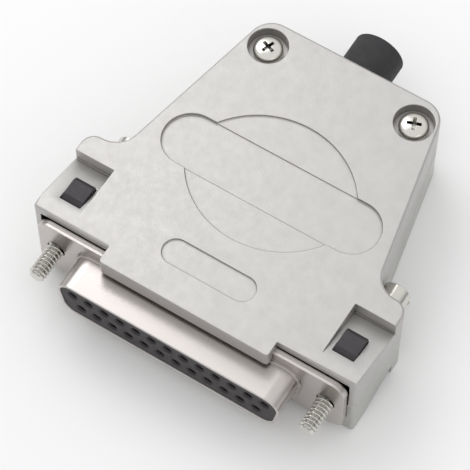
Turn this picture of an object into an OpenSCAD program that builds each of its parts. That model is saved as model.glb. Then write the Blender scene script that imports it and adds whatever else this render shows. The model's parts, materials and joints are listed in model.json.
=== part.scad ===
// Die-cast metal hood for a 25-way D-sub connector, closed on its connector.
// Two plated zinc half shells, snap clips that carry the jackscrews, a rubber
// bend relief held by two half inserts, a cable clamp and the socket connector.
// +X across the row, -Y towards the mating connector, +Z up through the cover.
// The origin is the centre of the connector flange's front face.

/* [Hood] */
// Width over the two ears
hood_w = 55.6; // [50:0.1:60]
// Length from the ear fronts to the back wall
hood_l = 46.5; // [35:0.5:60]
// Thickness of the closed hood
hood_t = 15.9; // [14:0.1:20]
// How far each ear stands out past the body it meets
ear_step = 5.6; // [4:0.1:7]
// Width of the tapered body at the back wall
rear_w = 31.6; // [24:0.1:44]
// Length of each ear
ear_l = 15.0; // [12:0.5:20]
// Radius of the outer ear corners
ear_r = 2.2; // [0.5:0.1:4]
// Radius of the fillet between ear and body
neck_r = 4.0; // [1:0.1:4.2]
// Radius of the back corners
rear_r = 3.8; // [1:0.1:5]
// Width of the middle tab that grips the flange
tab_w = 29.0; // [20:0.5:36]
// How far the middle tab stands forward of the ears
tab_l = 2.7; // [2:0.1:4]
// Thickness of the top and bottom plates
plate_t = 1.6; // [1:0.1:2.5]
// Thickness of the tapered side walls
wall_t = 1.9; // [1:0.1:3]
// Thickness of the outer ear walls
ear_wall_t = 1.2; // [0.8:0.1:2]
// Gap at the parting line
parting_gap = 0.05; // [0:0.01:0.2]
// Distance from the ear fronts to the middle of the label
label_back = 21.8; // [18:0.1:26]
// Half length of the straight part of the label field
field_run = 14.0; // [8:0.1:14.5]
// Radius of the ends of the label field
field_r = 4.56; // [3:0.01:6]
// Depth of the oval label recess
label_d = 0.3; // [0.1:0.05:0.8]
// Depth of the long label field that crosses it
field_d = 0.5; // [0.2:0.05:1]

/* [Connector] */
// Distance from the end of the flange to the ear's outer side
ear_over = 1.28; // [1.25:0.01:3]
// Gap above and below the flange, to each plate
flange_gap = 0.075; // [0.05:0.005:0.3]
// Thickness of each of the two flange sheets
sheet_t = 0.55; // [0.4:0.05:0.8]
// Distance from a jackscrew axis to the end of the flange
flange_end = 3.0; // [2.8:0.01:4]
// Flange hole diameter
flange_hole_d = 3.05; // [2.8:0.05:3.4]
// Distance from the side of the front D to a jackscrew axis
d_side = 4.33; // [4:0.01:6]
// Height of the front D
d_h = 7.9; // [7.5:0.01:8.5]
// How far the front D stands out
d_l = 5.9; // [5:0.1:6.5]
// How far the rear D reaches behind the flange's front face
rear_d_l = 4.6; // [4:0.1:6]
// How far the rear D stands out past the front D at each side
rear_over = 1.46; // [1:0.01:2]
// Rim of the flange above and below the rear D
flange_rim = 0.925; // [0.8:0.005:1.5]
// Distance from the last contact of the long row to the side of the front D
d_end = 2.57; // [2.2:0.01:3]
// Distance between the two rows
row_gap = 2.84; // [2.84]
// How far the contacts stand back from the front of the D
contact_back = 2.0; // [0.5:0.1:3]
// Length of the solder cups
cup_l = 5.4; // [4:0.1:7]
// Number of contacts
ways = 25; // [9,15,25,37]

/* [Jackscrews and clips] */
// Thread diameter at the mating end
thread_d = 2.84; // [2.5:0.01:3.5]
// Shank diameter where the clip holds it
shank_d = 3.2; // [3:0.1:4]
// Head diameter
jack_head_d = 4.6; // [4:0.1:6]
// Length of the thread in front of the flange
jack_tip = 5.5; // [4:0.1:8]
// Where the head ends, behind the flange
jack_end = 21.2; // [18:0.1:26]
// Width of the snap clip
clip_w = 4.6; // [4:0.1:5]
// Depth of the snap clip
clip_l = 5.0; // [4:0.1:6]
// Where the middle of the clip stands, behind the flange
clip_y = 6.7; // [6:0.1:8]
// Width of the clip window in each ear
window_w = 3.6; // [3:0.1:4.4]
// Length of the clip window
window_l = 4.5; // [3:0.1:5.5]

/* [Cable entry] */
// Outer diameter of the rubber tube
tube_d = 8.5; // [6:0.1:10]
// Bore for the cable
cable_d = 6.6; // [4:0.1:8]
// Length of the tube behind its flange
tube_l = 11.8; // [8:0.1:20]
// Width of the rubber flange
relief_w = 11.8; // [10:0.1:13]
// Height of the rubber flange
relief_h = 12.3; // [10:0.1:13]
// Thickness of the rubber flange
relief_t = 2.1; // [1.5:0.1:3]
// Length over the ends of the half inserts
insert_w = 18.2; // [14:0.1:19]
// Thickness of the half inserts
insert_t = 2.2; // [1.5:0.1:3]
// Distance from the cover screws to the back wall
screw_back = 4.5; // [4:0.1:6]
// Distance from the clamp screws back to the cover screws
clamp_ahead = 7.0; // [6.6:0.1:9]
// Distance between the clamp screws
clamp_pitch = 16.2; // [14:0.1:20]
// Width of the clamp's arch along the cable
clamp_w = 5.0; // [3:0.1:6]
// Sheet thickness of the clamp
clamp_t = 0.8; // [0.5:0.1:1.2]
// Distance between the cover screws
cover_pitch = 25.8; // [20:0.1:30]

/* [Screws] */
// Thread diameter of the cover screws
cover_screw_d = 2.5; // [2:0.1:2.6]
// Head diameter of the cover screws
cover_head_d = 4.7; // [4:0.1:5.6]
// Head height of the cover screws
cover_head_h = 1.8; // [1.2:0.1:2]
// Thread length of the cover screws
cover_screw_l = 11.0; // [8:0.5:11.5]
// Diameter of the recess round a cover screw's head
recess_d = 6.4; // [5.6:0.1:6.8]
// Depth of that recess
recess_depth = 2.0; // [1.5:0.1:3]
// Thread diameter of the clamp screws
clamp_screw_d = 2.4; // [2:0.1:2.6]
// Head diameter of the clamp screws
clamp_head_d = 4.4; // [4:0.1:5]
// Head height of the clamp screws
clamp_head_h = 1.5; // [1:0.1:2]
// Thread length of the clamp screws
clamp_screw_l = 5.0; // [4:0.1:5.2]

/* [Fits] */
// Radial clearance of a turning fit
run_fit = 0.06; // [0.02:0.01:0.1]
// Radial clearance where nothing bears
free_gap = 0.32; // [0.2:0.01:0.6]
// Clearance of parts that are laid or pressed into place
seat_gap = 0.05; // [0.02:0.01:0.15]

/* [Hidden] */
$fn = 64;
arc_over = 0.002;
half_t = hood_t / 2;
neck_w = hood_w - 2 * ear_step;
top_row = ceil(ways / 2);
flange_w = hood_w - 2 * ear_over;
flange_h = hood_t - 2 * (plate_t + flange_gap);
jack_pitch = flange_w - 2 * flange_end;
d_w = jack_pitch - 2 * d_side;
rear_d_w = d_w + 2 * rear_over;
rear_d_h = flange_h - 2 * flange_rim;
pitch = (d_w - 2 * d_end) / (top_row - 1);
flange_t = 2 * sheet_t;
front_y = flange_t + 0.1;
back_y = front_y + hood_l;
ear_y = front_y + ear_l;
roof_z = half_t - plate_t;
taper = (neck_w - rear_w) / 2 / (hood_l - ear_l);
jack_x = jack_pitch / 2;
lip_z = d_h / 2 + 0.75;
// ear compartment
ear_in = jack_x - clip_w / 2 - free_gap;
ear_out = hood_w / 2 - ear_wall_t;
ear_front = front_y + 1.4;
ear_back = ear_y - 1.8;
pocket_y0 = front_y + 1.9;
pocket_y1 = ear_y - 3.8;
pocket_d = 2.6;
pocket_roof = 1.2;
pocket_slope = pocket_d / (pocket_y1 - pocket_y0);
roof_y = pocket_y0 + (plate_t - pocket_roof) / pocket_slope;
clip_top = half_t - 0.35;
clip_back = clip_y + clip_l / 2;
clip_body = half_t - pocket_slope * (clip_back - pocket_y0) - pocket_roof - free_gap;
insulator_back = rear_d_l + 0.6;
// cable end of the hood, all from the ear fronts
screw_y = back_y - screw_back;
clamp_y = screw_y - clamp_ahead;
block_y = screw_y - 3.4;
relief_y = screw_y - 1.3;
insert_y = relief_y + relief_t + 2 * seat_gap;
clamp_z = -1.0;
boss_r = 3.0;
tie_t = 2.6;
web_t = 4.2;
saddle_z = clamp_z - 0.6;
saddle_low = cable_d / 2 + 0.5;
saddle_r = (pow(clamp_pitch / 2 - boss_r, 2) + pow(saddle_low + saddle_z, 2)) / (2 * (saddle_low + saddle_z));
tube_r = tube_d / 2;
insert_r = tube_r + 1.95;
insert_bar = 2.6;
stud_r = 0.7;
stud_l = 0.5;
cover_seat = half_t - recess_depth;
// label recesses: the oval is two arcs over the long field
label_y = front_y + label_back;
badge_y = label_y - 3.77 * field_r;
oval_r = 3.254 * field_r;
oval_off = 0.82 * field_r;

function contact_name(i) = str("contact_", i < 10 ? "0" : "", i);
function unit(v) = v / norm(v);
function corner_angle(a, p, b) = acos(unit(a - p) * unit(b - p));
function corner_run(a, p, b, r) = r / tan(corner_angle(a, p, b) / 2);
function corner_centre(a, p, b, r) =
    p + unit(unit(a - p) + unit(b - p)) * r / sin(corner_angle(a, p, b) / 2);
function is_convex(a, p, b) = cross(p - a, b - p) > 0;
function before(q, i) = q[(i + len(q) - 1) % len(q)];
function after(q, i) = q[(i + 1) % len(q)];
function corner_points(a, p, b, r) =
    r == 0 ? [p] : [p + unit(a - p) * corner_run(a, p, b, r), p + unit(b - p) * corner_run(a, p, b, r)];
function mirrored(q) = [for (i = [len(q) - 1:-1:0]) [-q[i][0], q[i][1]]];
function turned(q) = [for (i = [len(q) - 1:-1:0]) q[i]];

// Polygon, counter-clockwise, with a true arc of radius rad[i] at corner i.
// The arcs stand proud by arc_over so that they cross the sides cleanly.
module round_poly(q, rad) {
    difference() {
        union() {
            polygon([for (i = [0:len(q) - 1]) each corner_points(before(q, i), q[i], after(q, i), rad[i])]);
            for (i = [0:len(q) - 1])
                if (rad[i] > 0 && is_convex(before(q, i), q[i], after(q, i)))
                    translate(corner_centre(before(q, i), q[i], after(q, i), rad[i]))
                        circle(rad[i] + arc_over);
        }
        for (i = [0:len(q) - 1])
            if (rad[i] > 0 && !is_convex(before(q, i), q[i], after(q, i)))
                translate(corner_centre(before(q, i), q[i], after(q, i), rad[i]))
                    circle(rad[i] + arc_over);
    }
}

// Runs a profile drawn in X and Z from y0 to y1
module along_y(y0, y1) {
    translate([0, y1, 0])
        rotate([90, 0, 0])
            linear_extrude(y1 - y0)
                children();
}

// Runs a profile drawn in Y and Z from x0 to x1
module along_x(x0, x1) {
    translate([x0, 0, 0])
        rotate([90, 0, 90])
            linear_extrude(x1 - x0)
                children();
}

module both_sides() {
    children();
    mirror([1, 0, 0])
        children();
}

module stadium(half_run, r) {
    translate([-half_run, 0])
        circle(r);
    translate([half_run, 0])
        circle(r);
    translate([-half_run, -r])
        square([2 * half_run, 2 * r]);
}

// Outline of the hood seen from above
hood_side = [
    [tab_w / 2, front_y - tab_l],
    [tab_w / 2, front_y],
    [hood_w / 2, front_y],
    [hood_w / 2, ear_y],
    [neck_w / 2, ear_y],
    [rear_w / 2, back_y]
];
hood_side_r = [0.6, 0, 0.5, ear_r, neck_r, rear_r];

module hood_outline() {
    round_poly(concat(hood_side, mirrored(hood_side)), concat(hood_side_r, turned(hood_side_r)));
}

// Half width of the inside at a distance behind the ear fronts
function inner_x(yh) = neck_w / 2 - taper * (yh - ear_l) - wall_t * sqrt(1 + taper * taper);

cavity_side = [
    [ear_in + 0.05, -0.1],
    [ear_in + 0.05, rear_d_l + 1],
    [ear_in - 1.5, rear_d_l + 1],
    [ear_in - 1.5, ear_y - 1],
    [inner_x(ear_l - 1), ear_y - 1],
    [inner_x(block_y - front_y), block_y]
];
cavity_side_r = [0, 0, 0.5, 0, 0, 1.4];

module cavity_outline() {
    round_poly(concat(cavity_side, mirrored(cavity_side)), concat(cavity_side_r, turned(cavity_side_r)));
}

// The compartment of the right ear, with its clip window and sloping pocket
module ear_cuts() {
    along_x(ear_in, ear_out)
        polygon([
            [ear_front, -1],
            [ear_back, -1],
            [ear_back, half_t - pocket_d - pocket_roof],
            [pocket_y1, half_t - pocket_d - pocket_roof],
            [roof_y, roof_z],
            [ear_front, roof_z]
        ]);
    along_x(ear_in, hood_w / 2 + 1)
        polygon([
            [pocket_y0, half_t],
            [pocket_y1, half_t - pocket_d],
            [pocket_y1, half_t + 1],
            [pocket_y0, half_t + 1]
        ]);
    translate([jack_x - window_w / 2, clip_y - window_l / 2, 3])
        cube([window_w, window_l, half_t]);
    // way through for the jackscrew, and room for its head
    along_y(front_y - 1, ear_y + 1)
        translate([jack_x, 0])
            circle(shank_d / 2 + free_gap);
    along_y(ear_y + 0.3, ear_y + ear_l)
        translate([jack_x, 0])
            circle(jack_head_d / 2 + free_gap);
}

// Cable opening: guide ribs, seat of the rubber flange, seat of the insert
module entry_cuts() {
    along_y(block_y - 1, back_y + 1)
        circle(tube_r + 0.1);
    for (k = [0:1])
        along_y(block_y + 0.5 + k * 0.8, block_y + 0.9 + k * 0.8)
            circle(tube_r + 0.7);
    translate([-relief_w / 2 - seat_gap, relief_y - seat_gap, -1])
        cube([relief_w + 2 * seat_gap, relief_t + 3 * seat_gap, relief_h / 2 + 1 + seat_gap]);
    along_y(insert_y - seat_gap, insert_y + insert_t + seat_gap)
        insert_profile(seat_gap);
    for (s = [-1, 1])
        along_y(insert_y - stud_l - 0.3, insert_y)
            translate([s * (insert_w / 2 - insert_bar / 2), insert_bar / 2])
                circle(stud_r + 0.15);
}

// Upper half of the insert, grown by g for its seat
module insert_profile(g) {
    difference() {
        union() {
            circle(insert_r + g);
            translate([-insert_w / 2 + insert_bar / 2, -g])
                square([insert_w - insert_bar, insert_bar + 2 * g]);
            for (s = [-1, 1])
                translate([s * (insert_w / 2 - insert_bar / 2), insert_bar / 2])
                    circle(insert_bar / 2 + g);
        }
        translate([-insert_w, -2 * insert_w - g])
            square([2 * insert_w, 2 * insert_w]);
    }
}

// Half of the hood above the parting line, common to both shells
module shell_half(gap) {
    difference() {
        translate([0, 0, gap])
            linear_extrude(half_t - gap)
                hood_outline();
        translate([0, 0, -1])
            linear_extrude(roof_z + 1)
                cavity_outline();
        // the middle tab keeps a low lip in front of the flange
        translate([-tab_w / 2 - 1, front_y - tab_l - 1, -1])
            cube([tab_w + 2, tab_l + 1, lip_z + 1]);
        both_sides()
            ear_cuts();
        entry_cuts();
    }
}

// Tongue along the inside of a side wall, seen from above
module tongue_outline(g) {
    a = ear_l + 2 - g;
    b = hood_l - 9.5 + g;
    polygon([
        [inner_x(a) - 0.05, front_y + a],
        [inner_x(a) + 0.45 * wall_t + g, front_y + a],
        [inner_x(b) + 0.45 * wall_t + g, front_y + b],
        [inner_x(b) - 0.05, front_y + b]
    ]);
}

module lower_shell() {
    color("#d2d2ce")
        difference() {
            union() {
                mirror([0, 0, 1])
                    shell_half(0);
                both_sides()
                    translate([0, 0, -1.5])
                        linear_extrude(2.1)
                            tongue_outline(0);
                // clamp bosses, tied to the back wall and to each other
                both_sides() {
                    translate([clamp_pitch / 2, clamp_y, -roof_z - 0.3])
                        cylinder(r = boss_r, h = roof_z + 0.3 + clamp_z);
                    translate([clamp_pitch / 2 - tie_t / 2, clamp_y + 1, -roof_z - 0.3])
                        cube([tie_t, block_y - clamp_y, roof_z + 0.3 + clamp_z]);
                }
                // saddle under the cable, hollowed from boss to boss, with a bar under the clamp's foot
                difference() {
                    translate([-clamp_pitch / 2, clamp_y - web_t / 2, -roof_z - 0.3])
                        cube([clamp_pitch, web_t, roof_z + 0.3 + saddle_z]);
                    along_y(clamp_y - web_t, clamp_y + web_t)
                        translate([0, saddle_r - saddle_low])
                            circle(saddle_r);
                }
                translate([-cable_d / 2 - clamp_t - 1.4, clamp_y - web_t / 2, -roof_z])
                    cube([0.8, web_t, roof_z + clamp_z - seat_gap]);
            }
            both_sides() {
                translate([clamp_pitch / 2, clamp_y, clamp_z + clamp_t - clamp_screw_l - 0.4])
                    cylinder(d = clamp_screw_d + 2 * run_fit, h = 8);
                translate([cover_pitch / 2, screw_y, cover_seat - cover_screw_l - 1])
                    cylinder(d = cover_screw_d + 2 * run_fit, h = 8);
            }
            // ejector marks on the floor
            for (p = [[-13, 9.5], [13, 9.5], [0, 12], [-14.5, 22], [14.5, 22], [0, 25], [-10.5, 31]])
                translate([p[0], front_y + p[1], -roof_z - 0.06])
                    cylinder(r = 2.3, h = 0.5);
        }
}

module cover() {
    color("#dad8d5")
        difference() {
            shell_half(parting_gap);
            both_sides() {
                translate([0, 0, -0.5])
                    linear_extrude(1.2)
                        tongue_outline(0.1);
                translate([cover_pitch / 2, screw_y, -1])
                    cylinder(d = cover_screw_d + 2 * free_gap, h = hood_t);
                translate([cover_pitch / 2, screw_y, cover_seat])
                    cylinder(d = recess_d, h = 4);
                // the ear's front is open: only the end of its side wall reaches down
                translate([ear_in, front_y - 1, -1])
                    cube([ear_out - ear_in, ear_front - front_y + 1.1, roof_z + 1]);
            }
            // oval crossed by a long label field, and a small field in front
            translate([0, label_y, half_t - label_d])
                linear_extrude(1)
                    intersection() {
                        translate([0, -oval_off])
                            circle(oval_r);
                        translate([0, oval_off])
                            circle(oval_r);
                    }
            translate([0, label_y, half_t - field_d])
                linear_extrude(1)
                    stadium(field_run, field_r);
            translate([0, badge_y, half_t - label_d])
                linear_extrude(1)
                    stadium(0.407 * field_run, 0.47 * field_r);
        }
}

// Pan head screw standing on z = 0, with a cross recess
module pan_screw(d, head_d, head_h, len) {
    difference() {
        rotate_extrude()
            polygon([
                [0, -len],
                [d / 2 - 0.35, -len],
                [d / 2, -len + 0.4],
                [d / 2, 0],
                [head_d / 2, 0],
                [head_d / 2, head_h * 0.55],
                [head_d / 2 - 0.18, head_h * 0.82],
                [head_d / 2 - 0.6, head_h],
                [0, head_h]
            ]);
        for (a = [0, 90])
            rotate([0, 0, a])
                translate([-head_d * 0.3, -0.25, head_h - 0.9])
                    cube([head_d * 0.6, 0.5, 2]);
    }
}

module cover_screw(s) {
    color("#d9d7d0")
        translate([s * cover_pitch / 2, screw_y, cover_seat + 0.02])
            rotate([0, 0, s * 20])
                pan_screw(cover_screw_d, cover_head_d, cover_head_h, cover_screw_l);
}

module clamp_screw(s) {
    color("#d9d7d0")
        translate([s * clamp_pitch / 2, clamp_y, clamp_z + clamp_t + 0.02])
            rotate([0, 0, s * 35])
                pan_screw(clamp_screw_d, clamp_head_d, clamp_head_h, clamp_screw_l);
}

module cable_clamp() {
    arch_in = cable_d / 2 + 0.3;
    arch_out = arch_in + clamp_t;
    color("#d4d3cf")
        difference() {
            union() {
                along_y(clamp_y - clamp_w / 2, clamp_y + clamp_w / 2)
                    difference() {
                        union() {
                            circle(arch_out);
                            translate([-clamp_pitch / 2, clamp_z])
                                square([clamp_pitch, clamp_t]);
                        }
                        circle(arch_in);
                        translate([-arch_in, -10])
                            square([2 * arch_in, 10]);
                        translate([-clamp_pitch, clamp_z - clamp_pitch])
                            square([2 * clamp_pitch, clamp_pitch]);
                    }
                both_sides()
                    translate([clamp_pitch / 2, clamp_y, clamp_z])
                        cylinder(r = 2.9, h = clamp_t);
                translate([-2, clamp_y - 5.6, arch_out - clamp_t - 0.15])
                    cube([4, 3.6, clamp_t]);
            }
            both_sides()
                translate([clamp_pitch / 2, clamp_y, clamp_z - 1])
                    cylinder(d = clamp_screw_d + 2 * free_gap, h = 4);
            translate([-0.8, clamp_y - 4.9, arch_in - 1])
                cube([1.6, 1.6, 4]);
        }
}

module grommet() {
    hw = relief_w / 2;
    hh = relief_h / 2;
    color("#3a3a3c")
        difference() {
            union() {
                along_y(relief_y, relief_y + relief_t)
                    polygon([
                        [-hw + 2, -hh], [hw - 2, -hh], [hw, -hh + 3.2], [hw, -1.1],
                        [hw - 0.9, -1.1], [hw - 0.9, 1.1], [hw, 1.1], [hw, hh - 3.2],
                        [hw - 2, hh], [-hw + 2, hh], [-hw, hh - 3.2], [-hw, 1.1],
                        [-hw + 0.9, 1.1], [-hw + 0.9, -1.1], [-hw, -1.1], [-hw, -hh + 3.2]
                    ]);
                along_y(relief_y + 0.5, relief_y + relief_t + tube_l)
                    circle(tube_r);
            }
            along_y(relief_y - 1, relief_y + relief_t + tube_l + 1)
                circle(cable_d / 2);
        }
}

module entry_insert() {
    color("#c9c6bd")
        difference() {
            union() {
                along_y(insert_y, insert_y + insert_t)
                    difference() {
                        insert_profile(0);
                        circle(tube_r + seat_gap);
                        translate([-insert_w, -insert_w + seat_gap / 2])
                            square([2 * insert_w, insert_w]);
                    }
                for (s = [-1, 1])
                    along_y(insert_y - stud_l, insert_y + 0.3)
                        translate([s * (insert_w / 2 - insert_bar / 2), insert_bar / 2])
                            circle(stud_r);
            }
        }
}

// Snap clip of the right ear
module clip() {
    tongue_w = window_w - 2 * seat_gap;
    y0 = clip_y - window_l / 2 + seat_gap;
    y1 = clip_y + window_l / 2 - seat_gap;
    color("#3f3a3d")
        difference() {
            union() {
                translate([jack_x - clip_w / 2, clip_y - clip_l / 2, -clip_body])
                    cube([clip_w, clip_l, 2 * clip_body]);
                // upper tongue with its hook, which stays inside the window
                along_x(jack_x - tongue_w / 2, jack_x + tongue_w / 2)
                    polygon([
                        [y0, 4], [y1 - 0.9, 4], [y1 - 0.9, clip_top - 1.1],
                        [y1, clip_top - 0.9], [y1, clip_top - 0.6],
                        [y1 - 0.7, clip_top], [y0 + 1.0, clip_top], [y0, clip_top - 0.7]
                    ]);
                // two lower legs with barbs
                translate([jack_x - tongue_w / 2, y0, -clip_top])
                    cube([tongue_w, y1 - y0, clip_top - clip_body + 1]);
                translate([jack_x - tongue_w / 2 - 0.4, clip_y + 0.4, -clip_top])
                    cube([tongue_w + 0.8, y1 - clip_y - 0.4, 0.55]);
            }
            translate([jack_x - 0.5, clip_y - 5, -half_t - 1])
                cube([1.0, 10, half_t + 1 - clip_body + 1]);
            along_y(clip_y - 5, clip_y + 5)
                translate([jack_x, 0])
                    circle(shank_d / 2 + run_fit);
            // relief beside the window so that the top can flex
            translate([jack_x - clip_w / 2 - 1, clip_y - clip_l / 2 - 1, clip_body - 1.3])
                cube([clip_w + 2, 1.8, 0.5]);
        }
}

// Slotted jackscrew of the right ear
module jackscrew() {
    r1 = thread_d / 2;
    r2 = shank_d / 2;
    r3 = jack_head_d / 2;
    rn = flange_hole_d / 2 - free_gap;
    color("#d6d4cf")
        translate([jack_x, 0, 0])
            difference() {
                rotate([-90, 0, 0])
                    rotate_extrude()
                        polygon([
                            [0, -jack_tip], [r1 - 0.4, -jack_tip], [r1, -jack_tip + 0.45],
                            [r1, 0], [rn, 0.3], [rn, flange_t + 1.1],
                            [r2, flange_t + 1.5], [r2, clip_back + 2.2],
                            [r2 - 0.35, clip_back + 2.5], [r2 - 0.35, clip_back + 3.7],
                            [r2, clip_back + 4], [r2, jack_end - 4.6], [r3 - 0.25, jack_end - 4.6],
                            [r3, jack_end - 4.35], [r3, jack_end - 0.3],
                            [r3 - 0.3, jack_end], [0, jack_end]
                        ]);
                translate([-5, jack_end - 1.3, -0.4])
                    cube([10, 5, 0.8]);
            }
}

// D outline, wide side up, size over the rounded corners
module d_outline(w, h, r) {
    top = w / 2 + 0.192 * r;
    low = top - h * tan(10);
    round_poly(
        [[-low, -h / 2], [low, -h / 2], [top, h / 2], [-top, h / 2]],
        [r, r, r, r]
    );
}

module flange_outline() {
    difference() {
        round_poly(
            [
                [-flange_w / 2, -flange_h / 2], [flange_w / 2, -flange_h / 2],
                [flange_w / 2, flange_h / 2], [-flange_w / 2, flange_h / 2]
            ],
            [2.2, 2.2, 2.2, 2.2]
        );
        for (s = [-1, 1])
            translate([s * jack_x, 0])
                circle(d = flange_hole_d);
    }
}

module connector_front_shell() {
    wall = 0.45;
    color("#dddad5")
        difference() {
            union() {
                along_y(0, sheet_t)
                    flange_outline();
                along_y(-d_l, 0.1)
                    d_outline(d_w, d_h, 2.6);
                // small rolled step at the root of the D
                along_y(-0.5, 0.1)
                    d_outline(d_w + 0.7, d_h + 0.7, 2.9);
            }
            along_y(-d_l - 1, sheet_t + 1)
                d_outline(d_w - 2 * wall, d_h - 2 * wall, 2.6 - wall);
        }
}

module connector_rear_shell() {
    wall = 0.5;
    color("#d6d3cf")
        difference() {
            union() {
                along_y(sheet_t, flange_t)
                    flange_outline();
                along_y(flange_t - 0.1, rear_d_l)
                    d_outline(rear_d_w, rear_d_h, 2.6);
            }
            along_y(sheet_t - 1, rear_d_l - wall)
                d_outline(rear_d_w - 2 * wall, rear_d_h - 2 * wall, 2.6 - wall);
            along_y(rear_d_l - 1.6, rear_d_l + 1)
                d_outline(rear_d_w - 2.4, rear_d_h - 2.4, 1.5);
        }
}

// Position of a contact in X and Z: the longer row is on top
function contact_at(i) =
    let (top = ceil(ways / 2))
    i <= top
        ? [(i - 1 - (top - 1) / 2) * pitch, row_gap / 2]
        : [(i - top - 1 - (ways - top - 1) / 2) * pitch, -row_gap / 2];

contact_r = 0.7;
lead_in = 0.28;
cup_r = 0.86;
cup_end = insulator_back + cup_l;

module contact_holes() {
    for (i = [1:ways])
        translate(contact_at(i))
            circle(contact_r + 0.02);
}

module front_insulator() {
    face = 0.15 - d_l;
    color("#38353a")
        difference() {
            along_y(face, sheet_t)
                difference() {
                    d_outline(d_w - 1.0, d_h - 1.0, 2.1);
                    contact_holes();
                }
            // lead-in of each contact hole
            for (i = [1:ways])
                translate([contact_at(i)[0], face, contact_at(i)[1]])
                    rotate([-90, 0, 0])
                        cylinder(r1 = contact_r + lead_in, r2 = contact_r, h = lead_in);
        }
}

module rear_insulator() {
    color("#2c2a2c")
        difference() {
            union() {
                along_y(sheet_t, rear_d_l - 0.55)
                    d_outline(rear_d_w - 1.1, rear_d_h - 1.1, 2.0);
                along_y(rear_d_l - 0.7, insulator_back)
                    d_outline(rear_d_w - 2.5, rear_d_h - 2.5, 1.4);
            }
            along_y(0, insulator_back + 1)
                contact_holes();
        }
}

module contact(i) {
    p = contact_at(i);
    s = p[1] > 0 ? 1 : -1;
    color("#c8a24a")
        translate([p[0], 0, p[1]])
            difference() {
                rotate([-90, 0, 0])
                    rotate_extrude()
                        polygon([
                            [0.48, contact_back - d_l], [contact_r, contact_back - d_l],
                            [contact_r, insulator_back], [cup_r, insulator_back + 0.1],
                            [cup_r, cup_end - 0.2], [0.6, cup_end],
                            [0.6, insulator_back + 2], [0, insulator_back + 1.8],
                            [0, 0.2], [0.48, 0]
                        ]);
                // open side of the solder cup faces outwards
                translate([-2 * cup_r, cup_end - 3 * cup_r, s > 0 ? 0.1 : -0.1 - 2 * cup_r])
                    cube([4 * cup_r, 4 * cup_r, 2 * cup_r]);
            }
}

lower_shell();
cover();
cover_screw(-1);  // cover_screw_left
cover_screw(1);  // cover_screw_right
cable_clamp();
clamp_screw(-1);  // clamp_screw_left
clamp_screw(1);  // clamp_screw_right
grommet();
entry_insert();  // entry_insert_upper
mirror([0, 0, 1]) entry_insert();  // entry_insert_lower
mirror([1, 0, 0]) clip();  // clip_left
clip();  // clip_right
mirror([1, 0, 0]) jackscrew();  // jackscrew_left
jackscrew();  // jackscrew_right
connector_front_shell();
connector_rear_shell();
front_insulator();
rear_insulator();
for (i = [1:ways])
    contact(i);
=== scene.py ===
"""Finishes, threads and studio for a die-cast D-sub hood, laid out as an add-on and run as a script."""

import json
import math
from functools import partial

import bmesh
import bpy
from bpy.props import FloatProperty, FloatVectorProperty, PointerProperty
from mathutils import Matrix, Vector


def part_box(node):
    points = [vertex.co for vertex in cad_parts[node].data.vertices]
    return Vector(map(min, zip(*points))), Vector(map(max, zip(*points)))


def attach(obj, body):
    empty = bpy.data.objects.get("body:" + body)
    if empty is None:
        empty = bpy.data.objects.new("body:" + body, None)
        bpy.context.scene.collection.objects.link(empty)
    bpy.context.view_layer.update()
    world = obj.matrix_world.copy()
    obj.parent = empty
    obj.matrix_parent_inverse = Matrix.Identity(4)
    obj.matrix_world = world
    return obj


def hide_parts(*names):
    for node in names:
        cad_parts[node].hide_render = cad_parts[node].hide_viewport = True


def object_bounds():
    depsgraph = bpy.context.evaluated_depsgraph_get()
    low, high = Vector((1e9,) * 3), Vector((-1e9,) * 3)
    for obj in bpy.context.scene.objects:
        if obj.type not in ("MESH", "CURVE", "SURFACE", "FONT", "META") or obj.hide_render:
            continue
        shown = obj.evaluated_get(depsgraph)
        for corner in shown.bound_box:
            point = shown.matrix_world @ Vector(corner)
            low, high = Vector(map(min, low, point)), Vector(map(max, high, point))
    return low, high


bl_info = {
    "name": "D-sub hood",
    "version": (1, 0, 0),
    "blender": (4, 5, 0),
    "location": "3D View > Sidebar > Hood",
    "description": "Dresses a die-cast D-sub hood with its metals, plastics, rubber and screw threads",
    "category": "Object",
}

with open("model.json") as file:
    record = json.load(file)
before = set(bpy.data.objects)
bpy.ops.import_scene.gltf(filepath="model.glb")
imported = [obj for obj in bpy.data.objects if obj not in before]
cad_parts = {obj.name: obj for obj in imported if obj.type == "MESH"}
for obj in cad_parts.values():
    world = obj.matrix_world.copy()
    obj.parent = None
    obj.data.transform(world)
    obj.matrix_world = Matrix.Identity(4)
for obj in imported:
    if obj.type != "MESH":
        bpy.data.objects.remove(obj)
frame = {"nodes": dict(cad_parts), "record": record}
NODES = frame["nodes"]
CAD_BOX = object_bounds()
SLOT = {part["node"]: part["material_slot"] for part in frame["record"]["subparts"]}
BODY = {name: body for body, names in frame["record"]["behaviour"]["bodies"].items() for name in names}
MM = 0.001


# ---------------------------------------------------------------- colour and node helpers


def linear(code):
    """Scene-linear colour of an sRGB hex value, with full alpha."""
    parts = [int(code[i : i + 2], 16) / 255 for i in (1, 3, 5)]
    return tuple(c / 12.92 if c <= 0.04045 else ((c + 0.055) / 1.055) ** 2.4 for c in parts) + (1.0,)


def add(tree, kind, inputs=None, **settings):
    """Adds one node, sets its properties, then fills or links its inputs."""
    made = tree.nodes.new(kind)
    for key, value in settings.items():
        setattr(made, key, value)
    for key, value in (inputs or {}).items():
        if isinstance(value, bpy.types.NodeSocket):
            tree.links.new(value, made.inputs[key])
        else:
            made.inputs[key].default_value = value
    return made


def blank_material(name):
    """A material with only its output and a Principled shader."""
    material = bpy.data.materials.new(name)
    material.use_nodes = True
    tree = material.node_tree
    tree.nodes.clear()
    shader = add(tree, "ShaderNodeBsdfPrincipled")
    add(tree, "ShaderNodeOutputMaterial", {"Surface": shader.outputs["BSDF"]})
    return material, tree, shader


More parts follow.
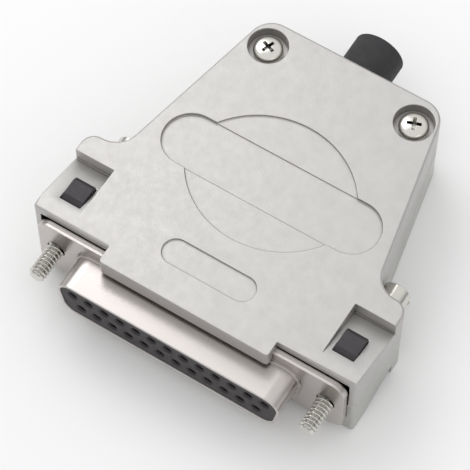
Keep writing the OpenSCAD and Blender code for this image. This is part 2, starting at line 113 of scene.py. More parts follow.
def patches(tree, place, size, low, high, detail=3.0, stretch=(1, 1, 1)):
    """Soft patches of about the given size in metres, as a value between low and high."""
    # noise seldom leaves the range of 0.3 to 0.7, which is spread over the whole of low to high
    spread = add(tree, "ShaderNodeMapping", {"Vector": place, "Scale": stretch})
    noise = add(
        tree, "ShaderNodeTexNoise", {"Vector": spread.outputs[0], "Scale": 1 / size, "Detail": detail}
    )
    return add(
        tree,
        "ShaderNodeMapRange",
        {"Value": noise.outputs["Fac"], "From Min": 0.3, "From Max": 0.7, "To Min": low, "To Max": high},
    ).outputs[0]


def edge_mask(tree, radius):
    """The softened normal of every edge, and how strongly a point belongs to an edge."""
    soft = add(tree, "ShaderNodeBevel", {"Radius": radius}, samples=4).outputs[0]
    flat = add(tree, "ShaderNodeNewGeometry").outputs["Normal"]
    same = add(tree, "ShaderNodeVectorMath", {0: soft, 1: flat}, operation="DOT_PRODUCT").outputs["Value"]
    # a normal softened by 32 degrees (cosine 0.85) or more is fully on the edge
    mask = add(
        tree,
        "ShaderNodeMapRange",
        {"Value": same, "From Min": 1.0, "From Max": 0.85, "To Min": 0.0, "To Max": 1.0},
    ).outputs[0]
    return soft, mask


def painted_corner_shade(tree, reach):
    """How deep a point lies in an inner corner: the mask of the painted shade that darkens the metal there.
    """
    open_sky = add(tree, "ShaderNodeAmbientOcclusion", {"Distance": reach}, samples=6, only_local=True)
    return add(
        tree,
        "ShaderNodeMapRange",
        {"Value": open_sky.outputs["AO"], "From Min": 0.85, "From Max": 0.45, "To Min": 0.0, "To Max": 1.0},
    ).outputs[0]


def laid_over(tree, ground, coats):
    """The linear ground colour with each coat's hex colour laid over it where its mask says."""
    for mask, colour in coats:
        ground = add(
            tree,
            "ShaderNodeMix",
            {"Factor": mask, "A": ground, "B": linear(colour)},
            data_type="RGBA",
        ).outputs["Result"]
    return ground


def skin(tree, shader, place, grain, relief, wave, soft, stretch=(1, 1, 1)):
    """Fine grain over a slow waviness; soft is the rounding normal, for a mesh that keeps its sharp edges."""
    spacing, height = wave
    slow = patches(tree, place, spacing, 0.0, 1.0, detail=1.0, stretch=stretch)
    under = add(tree, "ShaderNodeBump", {"Height": slow, "Strength": 1.0, "Distance": height})
    if soft:
        tree.links.new(soft, under.inputs["Normal"])
    fine = patches(tree, place, grain, 0.0, 1.0, detail=2.0, stretch=stretch)
    over = add(
        tree,
        "ShaderNodeBump",
        {"Height": fine, "Strength": 1.0, "Distance": relief, "Normal": under.outputs[0]},
    )
    tree.links.new(over.outputs[0], shader.inputs["Normal"])


# ---------------------------------------------------------------- finishes


def plated_metal(
    name, ground, cloud, worn, rough, grain, relief, flow=9, wave=(3, 0.004), stretch=(1, 1, 1), sharp=False
):
    """Metal with cloudy gloss, a fine grain, brighter edges and painted shade in its inner corners.

    The ground colour is linear and the others are hex; grain, relief, flow and wave are in millimetres.
    """
    worn_edge = 0.12 * MM
    # how far into the inner corners the painted shade reaches
    corner_shade_reach = 0.5 * MM
    material, tree, shader = blank_material(name)
    place = add(tree, "ShaderNodeTexCoord").outputs["Object"]
    soft, mask = edge_mask(tree, worn_edge)
    clouds = patches(tree, place, flow * MM, 0.0, 1.0, stretch=stretch)
    # the last coat is painted shade: dark grey #6E6C69 laid into the inner corners that ambient occlusion
    # finds
    coats = ((clouds, cloud), (mask, worn), (painted_corner_shade(tree, corner_shade_reach), "#6E6C69"))
    tree.links.new(laid_over(tree, ground, coats), shader.inputs["Base Color"])
    # gloss changes over about half the size of a cloud, and rubbed edges are glossier still
    gloss = patches(tree, place, flow * MM * 0.45, *rough, stretch=stretch)
    polish = add(tree, "ShaderNodeMapRange", {"Value": mask, "To Min": gloss, "To Max": rough[0] * 0.8})
    tree.links.new(polish.outputs[0], shader.inputs["Roughness"])
    wave = [length * MM for length in wave]
    skin(tree, shader, place, grain * MM, relief * MM, wave, soft if sharp else None, stretch)
    shader.inputs["Metallic"].default_value = 1.0
    return material


def moulded_plastic(name, ground, cloud, worn, rough, grain, relief, sharp=False):
    """Moulded plastic or rubber: a spark-eroded skin, slightly lighter where edges are rubbed."""
    worn_edge = 0.08 * MM
    cloud_size = 4 * MM
    gloss_size = 1.5 * MM
    wave = (2.5 * MM, 0.004 * MM)
    material, tree, shader = blank_material(name)
    place = add(tree, "ShaderNodeTexCoord").outputs["Object"]
    soft, mask = edge_mask(tree, worn_edge)
    clouds = patches(tree, place, cloud_size, 0.0, 1.0)
    coats = ((clouds, cloud), (mask, worn))
    tree.links.new(laid_over(tree, ground, coats), shader.inputs["Base Color"])
    tree.links.new(patches(tree, place, gloss_size, *rough), shader.inputs["Roughness"])
    skin(tree, shader, place, grain * MM, relief * MM, wave, soft if sharp else None)
    return material


def finishes(colours):
    """Each grain is drawn coarser than the real one, at 0.12 to 0.5 mm, because a finer one wouldn't show.
    """
    return {
        # zinc die casting, blasted and plated satin nickel: an even, warm grey with almost no mirror
        "cover_satin": plated_metal(
            "zinc_die_cast_satin_nickel", (*colours.cover, 1.0), "#C2C0BE", "#D6D4D1",
            rough=(0.43, 0.5), grain=0.22, relief=0.007, flow=2.4, wave=(5, 0.004),
        ),
        # the same casting left bright: colder, with cloudy flow marks and a softer mirror
        "shell_bright": plated_metal(
            "zinc_die_cast_bright_nickel", (*colours.shell, 1.0), "#C4C4C0", "#DADAD6",
            rough=(0.3, 0.36), grain=0.3, relief=0.003, wave=(6, 0.004),
        ),
        # rolled steel screws, bright nickel over a smooth rolled surface
        "screw_nickel": plated_metal(
            "steel_rolled_bright_nickel", (*colours.screws, 1.0), "#DCDAD4", "#F4F2EC",
            rough=(0.14, 0.22), grain=0.5, relief=0.001, wave=(2, 0.0015),
        ),
        # jackscrews: turned brass under the same plating, a little less glossy
        "jackscrew_nickel": plated_metal(
            "brass_turned_bright_nickel", linear("#CFCDC6"), "#D9D7D0", "#F0EEE8",
            rough=(0.16, 0.24), grain=0.4, relief=0.001, wave=(3, 0.0015),
        ),
        # stamped steel strip: glossy, with faint lines along the rolling direction
        "clamp_steel": plated_metal(
            "steel_stamped_nickel", linear("#C8C6C2"), "#D2D0CC", "#E8E6E2",
            rough=(0.28, 0.38), grain=0.18, relief=0.003, stretch=(1, 0.2, 1),
        ),
        # plain zinc casting, dull and a little beige
        "insert_zinc": plated_metal(
            "zinc_die_cast_plain", linear("#BDB9B0"), "#CBC7BF", "#E2DFD8",
            rough=(0.36, 0.48), grain=0.25, relief=0.008,
        ),
        # deep-drawn steel: dull bright tin, faintly pink, with drawing marks along its length
        "connector_tin": plated_metal(
            "steel_drawn_tin_plated", (*colours.connector, 1.0), "#CCC7C4", "#DEDAD7",
            rough=(0.26, 0.36), grain=0.12, relief=0.0025, wave=(2.5, 0.006), stretch=(0.12, 1, 1),
        ),
        # turned contacts with a thin gold flash
        "contact_gold": plated_metal(
            "brass_turned_gold_flash", linear("#D9AE55"), "#E8C474", "#F6DFA2",
            rough=(0.2, 0.3), grain=0.3, relief=0.002, sharp=True,
        ),
        # moulded rubber bend relief: matt and nearly black
        "relief_rubber": moulded_plastic(
            "rubber_moulded_black", (*colours.relief, 1.0), "#323234", "#444446",
            rough=(0.62, 0.78), grain=0.3, relief=0.012,
        ),
        # glass-filled nylon clips: purplish black with a dull sheen
        "clip_plastic": moulded_plastic(
            "nylon_moulded_black", (*colours.clips, 1.0), "#3A353A", "#544E53",
            rough=(0.42, 0.55), grain=0.25, relief=0.008,
        ),
        # glass-filled polyester insulators: the front one a purplish dark grey, the rear one black
        "insulator_front": moulded_plastic(
            "polyester_moulded_dark_grey", (*colours.insulator, 1.0), "#322E31", "#4A4548",
            rough=(0.5, 0.6), grain=0.2, relief=0.006, sharp=True,
        ),
        "insulator_rear": moulded_plastic(
            "polyester_moulded_black", linear("#1E1C1F"), "#262427", "#3A373B",
            rough=(0.45, 0.56), grain=0.2, relief=0.006, sharp=True,
        ),
    }


FINISHES = {}


def finish_of(slot):
    """The finish of a slot; all of them are made on the first call."""
    if not FINISHES:
        FINISHES.update(finishes(bpy.context.scene.hood_colours))
    return FINISHES[slot]


# ---------------------------------------------------------------- mesh helpers


def merged(node):
    """The CAD node's surface as one clean bmesh with flat faces rejoined."""
    bm = bmesh.new()
    bm.from_mesh(NODES[node].data)
    bmesh.ops.remove_doubles(bm, verts=bm.verts, dist=0.002 * MM)
    bmesh.ops.dissolve_limit(bm, angle_limit=math.radians(0.5), verts=bm.verts, edges=bm.edges)
    return bm


def turns_past(edge, degrees):
    """Whether the two faces at an edge meet at more than the given angle."""
    return len(edge.link_faces) == 2 and edge.calc_face_angle(0) > math.radians(degrees)


def to_piece(bm, name, slot, smooth=28):
    """Links a finished bmesh as an object with its finish, smooth where faces turn by less than an angle."""
    mesh = bpy.data.meshes.new(name)
    for face in bm.faces:
        face.smooth = True
    for edge in bm.edges:
        if turns_past(edge, smooth):
            edge.smooth = False
    bm.to_mesh(mesh)
    bm.free()
    mesh.materials.append(finish_of(slot))
    piece = bpy.data.objects.new(name, mesh)
    bpy.context.scene.collection.objects.link(piece)
    return piece


def settle(piece, node):
    """Puts a piece made with a CAD node's finish in the node's place: the node is hidden and the piece joins
    the same body.
    """
    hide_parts(node)
    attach(piece, BODY[node])


def flatten(piece):
    """Turns a piece's modifiers into plain mesh."""
    graph = bpy.context.evaluated_depsgraph_get()
    made = bpy.data.meshes.new_from_object(piece.evaluated_get(graph))
    piece.modifiers.clear()
    old = piece.data
    piece.data = made
    made.name = old.name
    bpy.data.meshes.remove(old)


def rounded_copy(node, width, name, segments=2, share=None):
    """A copy of a CAD node with its sharp edges rounded; share gives an edge's part of the width."""
    sharp = 35  # degrees
    bm = merged(node)
    weight = bm.edges.layers.float.new("bevel_weight_edge")
    for edge in bm.edges:
        if turns_past(edge, sharp):
            edge[weight] = share(edge) if share else 1.0
    piece = to_piece(bm, name, SLOT[node])
    bevel = piece.modifiers.new("edges", "BEVEL")
    bevel.width = width
    bevel.segments = segments
    bevel.limit_method = "WEIGHT"
    bevel.use_clamp_overlap = False
    bevel.harden_normals = False
    bevel.miter_outer = "MITER_ARC"
    # broad faces stay flat in the shading, and only the roundings turn
    even = piece.modifiers.new("even", "WEIGHTED_NORMAL")
    even.mode = "FACE_AREA"
    even.weight = 100
    even.keep_sharp = True
    flatten(piece)
    settle(piece, node)


def span(face):
    """Height of a face along Z."""
    heights = [vert.co.z for vert in face.verts]
    return max(heights) - min(heights)


def casting_share(edge, broad_z, little):
    """A casting edge's part of the rounding; broad_z is the height of the shell's broad outer face."""
    # a wall's normal has less than this along Z
    upright = 0.3
    # the height of an ejector mark is less than this, and that of a side wall more
    mark_height = 0.1 * MM
    side_height = 4 * MM
    # how deep the inner floor lies under the broad face
    floor_low, floor_high = 1.5 * MM, 1.7 * MM
    level = 0.01 * MM
    depths = [abs(vert.co.z - broad_z) for vert in edge.verts]
    walls = [face for face in edge.link_faces if abs(face.normal.z) < upright]
    around = {face for vert in edge.verts for face in vert.link_faces if abs(face.normal.z) < upright}
    # ejector marks are too shallow to round
    if any(span(face) < mark_height for face in around):
        return 0.0
    # the outline of the broad face
    if max(depths) < level and any(span(face) > side_height for face in walls):
        return 1.0
    # the fillet where walls and bosses meet the inner floor
    if not edge.is_convex and min(depths) > floor_low and max(depths) < floor_high and walls:
        return 1.0
    return little


def lathe(bm, profile, sides):
    """Turns a profile of (radius, height) that starts and ends on Z into a closed solid."""
    rings = []
    for r, z in profile:
        # a point on the axis needs only one vertex
        angles = [2 * math.pi * i / sides for i in range(sides)] if r > 1e-9 else [0.0]
        rings.append([bm.verts.new((r * math.cos(angle), r * math.sin(angle), z)) for angle in angles])
    for low, high in zip(rings, rings[1:]):
        for i in range(sides):
            j = i + 1
            loop = low[i % len(low)], low[j % len(low)], high[j % len(high)], high[i % len(high)]
            corners = list(dict.fromkeys(loop))
            if len(corners) > 2:
                bm.faces.new(corners)
    bmesh.ops.recalc_face_normals(bm, faces=bm.faces)


# ---------------------------------------------------------------- screw threads


# parts of the way from crest to root: flat at the crest, then sloping, and the rest flat at the root
CREST_SHARE = 0.14
FLANK_SHARE = 0.72

# the thread as a rule on a flat grid of 1 x 1: one column is one angle, one row is one depth;
# the first and last row close on the axis, and the others share the length; each line gives a
# value's name, its operation and its terms, which are numbers or the names of earlier values
THREAD_RULE = (
    ("turn", "ADD", "across", 0.5),
    ("along", "ADD", "up", 0.5),
    ("steps", "SUBTRACT", "Rows", 1.0),
    ("row", "MULTIPLY", "along", "steps"),
    ("from start", "SUBTRACT", "row", 1.0),
    ("on wall", "MAXIMUM", "from start", 0.0),
    ("wall steps", "SUBTRACT", "steps", 2.0),
    ("part", "DIVIDE", "on wall", "wall steps"),
    ("share", "MINIMUM", "part", 1.0),
    ("depth", "MULTIPLY", "share", "Length"),
    # a ridge that rises and falls once in every pitch, with flat crests and roots
    ("turns", "DIVIDE", "depth", "Pitch"),
    ("wound", "ADD", "turns", "turn"),
    ("phase", "FRACT", "wound"),
    ("off middle", "SUBTRACT", "phase", 0.5),
    ("distance", "ABSOLUTE", "off middle"),
    ("ridge", "MULTIPLY", "distance", 2.0),
    ("past crest", "SUBTRACT", "ridge", CREST_SHARE),
    ("flank", "DIVIDE", "past crest", FLANK_SHARE),
    ("not above", "MAXIMUM", "flank", 0.0),
    ("cut", "MINIMUM", "not above", 1.0),
    ("cut depth", "MULTIPLY", "cut", "Depth"),
    ("threaded", "SUBTRACT", "Radius", "cut depth"),
    # the chamfer of the tip
    ("left", "SUBTRACT", "Length", "depth"),
    ("into tip", "SUBTRACT", "Tip", "left"),
    ("chamfer", "MAXIMUM", "into tip", 0.0),
    ("cone", "SUBTRACT", "Radius", "chamfer"),
    ("wall", "MINIMUM", "threaded", "cone"),
    # both end rows shrink to the axis
    ("after first", "GREATER_THAN", "row", 0.5),
    ("last half", "SUBTRACT", "steps", 0.5),
    ("before last", "LESS_THAN", "row", "last half"),
    ("open", "MULTIPLY", "after first", "before last"),
    ("radius", "MULTIPLY", "wall", "open"),
    ("angle", "MULTIPLY", "turn", 2 * math.pi),
    ("cosine", "COSINE", "angle"),
    ("sine", "SINE", "angle"),
    ("place x", "MULTIPLY", "radius", "cosine"),
    ("place y", "MULTIPLY", "radius", "sine"),
    ("place z", "MULTIPLY", "depth", -1.0),
)


def thread_tree():
    """Geometry nodes for a screw thread along -Z from the origin, closed at both ends."""
    tree = bpy.data.node_groups.new("screw_thread", "GeometryNodeTree")
    tree.interface.new_socket("Geometry", in_out="OUTPUT", socket_type="NodeSocketGeometry")
    for label, kind, value in (
        ("Radius", "Float", 1.25 * MM),
        ("Depth", "Float", 0.25 * MM),
        ("Pitch", "Float", 0.45 * MM),
        ("Length", "Float", 10 * MM),
        ("Tip", "Float", 0.4 * MM),
        ("Columns", "Int", 33),
        ("Rows", "Int", 120),
    ):
        socket = tree.interface.new_socket(label, in_out="INPUT", socket_type=f"NodeSocket{kind}")
        socket.default_value = value
    tree.interface.new_socket("Finish", in_out="INPUT", socket_type="NodeSocketMaterial")
    given = add(tree, "NodeGroupInput").outputs

    grid = add(
        tree,
        "GeometryNodeMeshGrid",
        {"Size X": 1.0, "Size Y": 1.0, "Vertices X": given["Columns"], "Vertices Y": given["Rows"]},
    )
    position = add(tree, "GeometryNodeInputPosition").outputs[0]
    spot = add(tree, "ShaderNodeSeparateXYZ", {0: position}).outputs
    known = {"across": spot["X"], "up": spot["Y"]}
    known.update((socket.name, socket) for socket in given if socket.name)
    for name, operation, *terms in THREAD_RULE:
        inputs = {i: known.get(term, term) for i, term in enumerate(terms)}
        known[name] = add(tree, "ShaderNodeMath", inputs, operation=operation).outputs[0]
    wound = add(tree, "ShaderNodeCombineXYZ", {axis: known[f"place {axis.lower()}"] for axis in "XYZ"})
    placed = add(
        tree, "GeometryNodeSetPosition", {"Geometry": grid.outputs["Mesh"], "Position": wound.outputs[0]}
    )
    seam = add(tree, "GeometryNodeMergeByDistance", {"Geometry": placed.outputs[0], "Distance": 0.0005 * MM})
    smooth = add(tree, "GeometryNodeSetShadeSmooth", {"Geometry": seam.outputs[0]})
    real = add(tree, "GeometryNodeRealizeInstances", {"Geometry": smooth.outputs[0]})
    finished = add(
        tree, "GeometryNodeSetMaterial", {"Geometry": real.outputs[0], "Material": given["Finish"]}
    )
    add(tree, "NodeGroupOutput", {"Geometry": finished.outputs[0]})
    return tree


def node_mesh(tree, **values):
    """Runs a geometry node tree on an empty mesh with the named inputs, and returns the plain mesh."""
    holder = bpy.data.objects.new("holder", bpy.data.meshes.new("holder"))
    bpy.context.scene.collection.objects.link(holder)
    modifier = holder.modifiers.new("made", "NODES")
    modifier.node_group = tree
    for item in tree.interface.items_tree:
        if item.in_out == "INPUT" and item.name in values:
            modifier[item.identifier] = values[item.name]
    flatten(holder)
    mesh = holder.data
    bpy.data.objects.remove(holder)
    return mesh


def screw_thread(bm, radius, depth, pitch, length, place, slot, tip=0.4 * MM, rows_per_turn=8):
    """Adds a thread that starts at place and runs along its -Z."""
    mesh = node_mesh(
        bpy.data.node_groups.get("screw_thread") or thread_tree(),
        Radius=radius,
        Depth=depth,
        Pitch=pitch,
        Length=length,
        Tip=tip,
        # 32 sides: the first and the last column meet at the seam
        Columns=33,
        # the wall's first row and the two rows that close the ends come on top
        Rows=int(length / pitch * rows_per_turn) + 3,
        Finish=finish_of(slot),
    )
    there = set(bm.verts)
    bm.from_mesh(mesh)
    bpy.data.meshes.remove(mesh)
    new = [vert for vert in bm.verts if vert not in there]
    bmesh.ops.transform(bm, matrix=place, verts=new)
    faces = {face for vert in new for face in vert.link_faces}
    bmesh.ops.recalc_face_normals(bm, faces=list(faces))


def cross_cutter(width, reach, depth, top):
    """A tapered cross that cuts the recess of a cross-head screw, its mouth at the height of top."""
    bm = bmesh.new()
    # each bar tapers: half width, half length and height at its bottom and at its top above the mouth
    bottom = (width * 0.32, reach * 0.38, -depth)
    above = (width / 2, reach, depth * 0.35)
    for turn in (0, 90):
        spin = Matrix.Rotation(math.radians(turn), 4, "Z")
        corners = []
        for half_w, half_l, z in (bottom, above):
            for sx, sy in ((-1, -1), (1, -1), (1, 1), (-1, 1)):
                corners.append(bm.verts.new(spin @ Vector((sx * half_l, sy * half_w, z))))
        for ids in ((3, 2, 1, 0), (4, 5, 6, 7), (0, 1, 5, 4), (1, 2, 6, 5), (2, 3, 7, 6), (3, 0, 4, 7)):
            bm.faces.new([corners[i] for i in ids])
    mesh = bpy.data.meshes.new("cross")
    bm.to_mesh(mesh)
    bm.free()
    mesh.transform(Matrix.Translation((0, 0, top)))
    cutter = bpy.data.objects.new("cross", mesh)
    bpy.context.scene.collection.objects.link(cutter)
    return cutter


def pan_head(name, slot, radius, height):
    """A pan head with a tapered cross recess, its underside at z = 0."""
    # flat underside with a small rounded edge, upright rim and shallow dome
    profile = [(0, 0), (radius - 0.12 * MM, 0), (radius - 0.03 * MM, 0.04 * MM), (radius, 0.14 * MM)]
    rim, dome_steps, fullness = height * 0.5, 12, 0.62
    profile.append((radius, rim))
    for i in range(1, dome_steps):
        angle = math.pi / 2 * i / dome_steps
        profile.append((radius * math.cos(angle) ** fullness, rim + (height - rim) * math.sin(angle)))
    profile.append((0, height))
    bm = bmesh.new()
    lathe(bm, profile, sides=48)
    head = to_piece(bm, name, slot, smooth=40)
    cutter = cross_cutter(width=0.62 * MM, reach=radius * 0.6, depth=height * 0.62, top=height)
    cut = head.modifiers.new("recess", "BOOLEAN")
    cut.operation = "DIFFERENCE"
    cut.solver = "EXACT"
    cut.use_self = True
    cut.object = cutter
    flatten(head)
    bpy.data.objects.remove(cutter)
    return head


def pan_head_screw(node, turn, pitch, head_r, head_h, shank_r):
    """A pan head screw with its rolled thread, in the place of a CAD screw and turned in it by an angle."""
    thread_depth = shank_r * 0.22
    low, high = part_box(node)
    seat = Vector(((low.x + high.x) / 2, (low.y + high.y) / 2, high.z - head_h))
    screw = pan_head(f"{node}_made", SLOT[node], head_r, head_h)
    bm = bmesh.new()
    bm.from_mesh(screw.data)
    # cutting the recess leaves slivers where it meets the dome
    bmesh.ops.dissolve_degenerate(bm, dist=0.001 * MM, edges=bm.edges)
    # the thread starts just inside the head
    start = Matrix.Translation((0, 0, 0.02 * MM))
    screw_thread(bm, shank_r, thread_depth, pitch, seat.z - low.z, start, SLOT[node])
    place = Matrix.Translation(seat) @ Matrix.Rotation(math.radians(turn), 4, "Z")
    bmesh.ops.transform(bm, matrix=place, verts=bm.verts)
    bm.to_mesh(screw.data)
    bm.free()
    settle(screw, node)


# ---------------------------------------------------------------- settings


class HoodSizes(bpy.types.PropertyGroup):
    """Sizes of the detail that the solids leave out."""

    outline_round: FloatProperty(
        name="Casting outline",
        description="Rounding round the broad faces of the castings",
        default=0.35 * MM,
        unit="LENGTH",
    )
    edge_round: FloatProperty(
        name="Casting edge",
        description="Rounding of the castings' other edges",
        default=0.1 * MM,
        unit="LENGTH",
    )
    sheet_round: FloatProperty(
        name="Sheet edge",
        description="Rounding of stamped and drawn edges",
        default=0.08 * MM,
        unit="LENGTH",
    )
    clip_round: FloatProperty(
        name="Clip edge",
        description="Rounding of the snap clips' edges",
        default=0.08 * MM,
        unit="LENGTH",
    )
    relief_round: FloatProperty(
        name="Bend relief edge",
        description="Rounding of the rubber bend relief's edges",
        default=0.2 * MM,
        unit="LENGTH",
    )
    jack_pitch: FloatProperty(
        name="Jackscrew pitch",
        description="Thread pitch of the jackscrews, 40 to the inch",
        default=0.635 * MM,
        unit="LENGTH",
        precision=6,
    )
    cover_pitch: FloatProperty(
        name="Cover screw pitch",
        description="Thread pitch of the cover screws",
        default=0.45 * MM,
        unit="LENGTH",
        precision=6,
    )
    clamp_pitch: FloatProperty(
        name="Clamp screw pitch",
        description="Thread pitch of the clamp screws",
        default=0.45 * MM,
        unit="LENGTH",
        precision=6,
    )


class HoodColours(bpy.types.PropertyGroup):
    """Main colours of the finishes."""

    cover: FloatVectorProperty(
        name="Cover",
        description="Satin nickel of the cover",
        subtype="COLOR",
        default=linear("#BDBBB9")[:3],
    )
    shell: FloatVectorProperty(
        name="Lower shell",
        description="Bright nickel of the lower shell",
        subtype="COLOR",
        default=linear("#BABAB6")[:3],
    )
    screws: FloatVectorProperty(
        name="Screws",
        description="Bright nickel of the cover screws and clamp screws",
        subtype="COLOR",
        default=linear("#D2D0C8")[:3],
    )
    connector: FloatVectorProperty(
        name="Connector shells",
        description="Tin of the connector's drawn shells",
        subtype="COLOR",
        default=linear("#C3BDBA")[:3],
    )
    relief: FloatVectorProperty(
        name="Bend relief",
        description="Black rubber of the bend relief",
        subtype="COLOR",
        default=linear("#2A2A2C")[:3],
    )
    clips: FloatVectorProperty(
        name="Clips",
        description="Black nylon of the snap clips",
        subtype="COLOR",
        default=linear("#322D31")[:3],
    )
    insulator: FloatVectorProperty(
        name="Front insulator",
        description="Dark polyester of the front insulator",
        subtype="COLOR",
        default=linear("#2B272A")[:3],
    )


class HoodStudio(bpy.types.PropertyGroup):
    """Camera, floor and lights."""

    azimuth: FloatProperty(
        name="Azimuth",
        description="Camera direction round the hood",
        default=math.radians(32),
        subtype="ANGLE",
    )
    elevation: FloatProperty(
        name="Elevation",
        description="Camera height above the horizon",
        default=math.radians(62),
        subtype="ANGLE",
    )
    lens: FloatProperty(
        name="Lens",
        description="Focal length in millimetres",
        default=188.0,
    )
    distance: FloatProperty(
        name="Distance",
        description="Camera to the point it looks at",
        default=0.372,
        unit="LENGTH",
    )
    aim: FloatVectorProperty(
        name="Aim",
        description="Point the camera looks at, from the middle of the hood's box",
        subtype="TRANSLATION",
        default=(-2.8 * MM, -7.5 * MM, -2.6 * MM),
    )
    floor_colour: FloatVectorProperty(
        name="Floor",
        description="Colour of the paper floor",
        subtype="COLOR",
        default=linear("#F7F7F7")[:3],
    )
    key_power: FloatProperty(
        name="Key light",
        description="Power of the large soft light",
        default=0.9,
        subtype="POWER",
    )
    fill_power: FloatProperty(
        name="Fill light",
        description="Power of the side light",
        default=0.25,
        subtype="POWER",
    )


# ---------------------------------------------------------------- pieces


class HOOD_OT_castings(bpy.types.Operator):
    """Makes the two die-cast shells with rounded edges and plated finishes"""

    bl_idname = "hood.castings"
    bl_label = "Cast shells"

    def execute(self, context):
        sizes = context.scene.hood_sizes
        little = sizes.edge_round / sizes.outline_round
        for node in ("lower_shell", "cover"):
            low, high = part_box(node)
            broad_z = high.z if node == "cover" else low.z
            share = partial(casting_share, broad_z=broad_z, little=little)
            rounded_copy(node, sizes.outline_round, f"{node}_cast", segments=3, share=share)
        return {"FINISHED"}


class HOOD_OT_fasteners(bpy.types.Operator):
    """Makes the cover screws and clamp screws with cross recesses and threads"""

    bl_idname = "hood.fasteners"
    bl_label = "Cover and clamp screws"

    def execute(self, context):
        sizes = context.scene.hood_sizes
        cover_screw = dict(head_r=2.35 * MM, head_h=1.8 * MM, shank_r=1.25 * MM)
        clamp_screw = dict(head_r=2.2 * MM, head_h=1.5 * MM, shank_r=1.2 * MM)
        # no two screws come to rest at the same angle
        for side, cover_turn, clamp_turn in (("left", -20, -35), ("right", 20, 35)):
            pan_head_screw(f"cover_screw_{side}", cover_turn, sizes.cover_pitch, **cover_screw)
            pan_head_screw(f"clamp_screw_{side}", clamp_turn, sizes.clamp_pitch, **clamp_screw)
        return {"FINISHED"}


class HOOD_OT_jackscrews(bpy.types.Operator):
    """Makes the two jackscrews with their threads, waists and slotted heads"""

    bl_idname = "hood.jackscrews"
    bl_label = "Jackscrews"

    def execute(self, context):
        pitch = context.scene.hood_sizes.jack_pitch
        radius, depth, tip = 1.42 * MM, 0.3 * MM, 0.45 * MM
        # the thread starts a little inside the shank, which is cut off level at the flange
        cut_y, start_y = 0.1 * MM, 0.15 * MM
        for node in ("jackscrew_left", "jackscrew_right"):
            low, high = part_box(node)
            axis_x = (low.x + high.x) / 2
            bm = merged(node)
            cut = bmesh.ops.bisect_plane(
                bm,
                geom=bm.verts[:] + bm.edges[:] + bm.faces[:],
                plane_co=(0, cut_y, 0),
                plane_no=(0, 1, 0),
                clear_inner=True,
            )
            rim = [edge for edge in cut["geom_cut"] if isinstance(edge, bmesh.types.BMEdge)]
            bmesh.ops.contextual_create(bm, geom=rim)
            bmesh.ops.recalc_face_normals(bm, faces=bm.faces)
            forward = Matrix.Rotation(math.radians(-90), 4, "X")
            place = Matrix.Translation((axis_x, start_y, 0)) @ forward
            length = start_y - low.y
            screw_thread(bm, radius, depth, pitch, length, place, SLOT[node], tip=tip, rows_per_turn=10)
            settle(to_piece(bm, f"{node}_made", SLOT[node], smooth=32), node)
        return {"FINISHED"}


class HOOD_OT_cable_entry(bpy.types.Operator):
    """Makes the clamp, the half inserts and the rubber bend relief"""

    bl_idname = "hood.cable_entry"
    bl_label = "Cable entry"

    def execute(self, context):
        sizes = context.scene.hood_sizes
        for node in ("cable_clamp", "entry_insert_upper", "entry_insert_lower"):
            rounded_copy(node, sizes.sheet_round, f"{node}_made")
        rounded_copy("grommet", sizes.relief_round, "grommet_moulded", segments=3)
        return {"FINISHED"}


class HOOD_OT_clips(bpy.types.Operator):
    """Makes the two snap clips"""

    bl_idname = "hood.clips"
    bl_label = "Snap clips"

    def execute(self, context):
        for node in ("clip_left", "clip_right"):
            rounded_copy(node, context.scene.hood_sizes.clip_round, f"{node}_moulded")
        return {"FINISHED"}


class HOOD_OT_connector(bpy.types.Operator):
    """Makes the connector's drawn shells and finishes its mouldings and contacts"""

    bl_idname = "hood.connector"
    bl_label = "Socket connector"

    def execute(self, context):
        for node in ("connector_front_shell", "connector_rear_shell"):
            rounded_copy(node, context.scene.hood_sizes.sheet_round, f"{node}_drawn")
        for node, part in NODES.items():
            if SLOT[node] in ("insulator_front", "insulator_rear", "contact_gold"):
                part.data.materials.clear()
                part.data.materials.append(finish_of(SLOT[node]))
        return {"FINISHED"}


# ---------------------------------------------------------------- stage


def paper_floor(scene, colour, height):
    """A wide sheet of white paper under the hood."""
    reach = 3.0
    mesh = bpy.data.meshes.new("floor")
    outline = ((-reach, -reach), (reach, -reach), (reach, reach), (-reach, reach))
    mesh.from_pydata([(x, y, height) for x, y in outline], [], [(0, 1, 2, 3)])
    material, _, shader = blank_material("paper_floor_white")
    shader.inputs["Base Color"].default_value = (*colour, 1)
    shader.inputs["Roughness"].default_value = 0.9
    mesh.materials.append(material)
    floor = bpy.data.objects.new("floor", mesh)
    scene.collection.objects.link(floor)


def white_room(scene):
    """White surroundings, brightest overhead and darker towards the horizon."""
    world = bpy.data.worlds.new("room")
    world.use_nodes = True
    tree = world.node_tree
    tree.nodes.clear()
    direction = add(tree, "ShaderNodeTexCoord").outputs["Generated"]
    height = add(tree, "ShaderNodeSeparateXYZ", {0: direction}).outputs["Z"]
    glow = add(
        tree,
        "ShaderNodeMapRange",
        {"Value": height, "From Min": 0.05, "From Max": 0.7, "To Min": 0.35, "To Max": 0.95},
        interpolation_type="SMOOTHSTEP",
    ).outputs[0]
    room = add(tree, "ShaderNodeBackground", {"Color": linear("#FFFFFF"), "Strength": glow})
    add(tree, "ShaderNodeOutputWorld", {"Surface": room.outputs[0]})
    scene.world = world


def soft_light(scene, name, middle, toward, distance, width, power):
    """A square soft light that looks at the middle of the hood."""
    data = bpy.data.lights.new(name, "AREA")
    data.shape = "SQUARE"
    data.size = width
    data.energy = power
    light = bpy.data.objects.new(name, data)
    scene.collection.objects.link(light)
    direction = Vector(toward).normalized()
    light.location = middle + direction * distance
    light.rotation_euler = direction.to_track_quat("Z", "Y").to_euler()


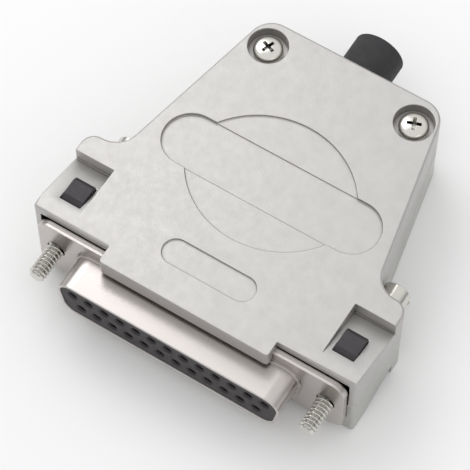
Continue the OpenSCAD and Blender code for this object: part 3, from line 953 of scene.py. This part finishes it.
def long_lens_camera(scene, studio, middle):
    """The camera, far enough away for an almost flat perspective."""
    data = bpy.data.cameras.new("camera")
    data.lens = studio.lens
    data.sensor_width = 36
    data.clip_start, data.clip_end = 0.01, 20
    camera = bpy.data.objects.new("camera", data)
    scene.collection.objects.link(camera)
    turn, rise = studio.azimuth, studio.elevation
    back = Vector((math.sin(turn) * math.cos(rise), -math.cos(turn) * math.cos(rise), math.sin(rise)))
    camera.location = middle + Vector(studio.aim) + back * studio.distance
    camera.rotation_euler = back.to_track_quat("Z", "Y").to_euler()
    scene.camera = camera


class HOOD_OT_studio(bpy.types.Operator):
    """Sets the pale floor, the soft lights and the camera"""

    bl_idname = "hood.studio"
    bl_label = "Studio"

    def execute(self, context):
        scene = context.scene
        studio = scene.hood_studio
        low, high = CAD_BOX
        middle = (low + high) / 2
        paper_floor(scene, studio.floor_colour, low.z)
        white_room(scene)
        for name, toward, distance, power in (
            ("key", (-0.6, 0.3, 0.75), 0.6, studio.key_power),
            ("fill", (0.9, -0.4, 0.5), 0.7, studio.fill_power),
        ):
            soft_light(scene, name, middle, toward, distance, width=0.4, power=power)
        long_lens_camera(scene, studio, middle)
        scene.view_settings.view_transform = "Standard"
        return {"FINISHED"}


class HOOD_PT_panel(bpy.types.Panel):
    """Lists the settings and the steps that dress the hood"""

    bl_idname = "HOOD_PT_panel"
    bl_label = "D-sub hood"
    bl_space_type = "VIEW_3D"
    bl_region_type = "UI"
    bl_category = "Hood"

    def draw(self, context):
        scene = context.scene
        for group in (scene.hood_sizes, scene.hood_colours, scene.hood_studio):
            box = self.layout.box()
            for key in group.bl_rna.properties.keys():
                if key not in ("rna_type", "name"):
                    box.prop(group, key)
        for operator in OPERATORS:
            self.layout.operator(operator.bl_idname)


OPERATORS = (
    HOOD_OT_castings,
    HOOD_OT_fasteners,
    HOOD_OT_jackscrews,
    HOOD_OT_cable_entry,
    HOOD_OT_clips,
    HOOD_OT_connector,
    HOOD_OT_studio,
)
CLASSES = (HoodSizes, HoodColours, HoodStudio, *OPERATORS, HOOD_PT_panel)


def register():
    """Makes the settings, the steps and the panel known to Blender."""
    for cls in CLASSES:
        bpy.utils.register_class(cls)
    bpy.types.Scene.hood_sizes = PointerProperty(type=HoodSizes)
    bpy.types.Scene.hood_colours = PointerProperty(type=HoodColours)
    bpy.types.Scene.hood_studio = PointerProperty(type=HoodStudio)


def unregister():
    """Takes them away again."""
    del bpy.types.Scene.hood_studio
    del bpy.types.Scene.hood_colours
    del bpy.types.Scene.hood_sizes
    for cls in reversed(CLASSES):
        bpy.utils.unregister_class(cls)


def main():
    """Runs every step in order."""
    register()
    for operator in OPERATORS:
        group, name = operator.bl_idname.split(".")
        getattr(getattr(bpy.ops, group), name)()


if __name__ == "__main__":
    main()
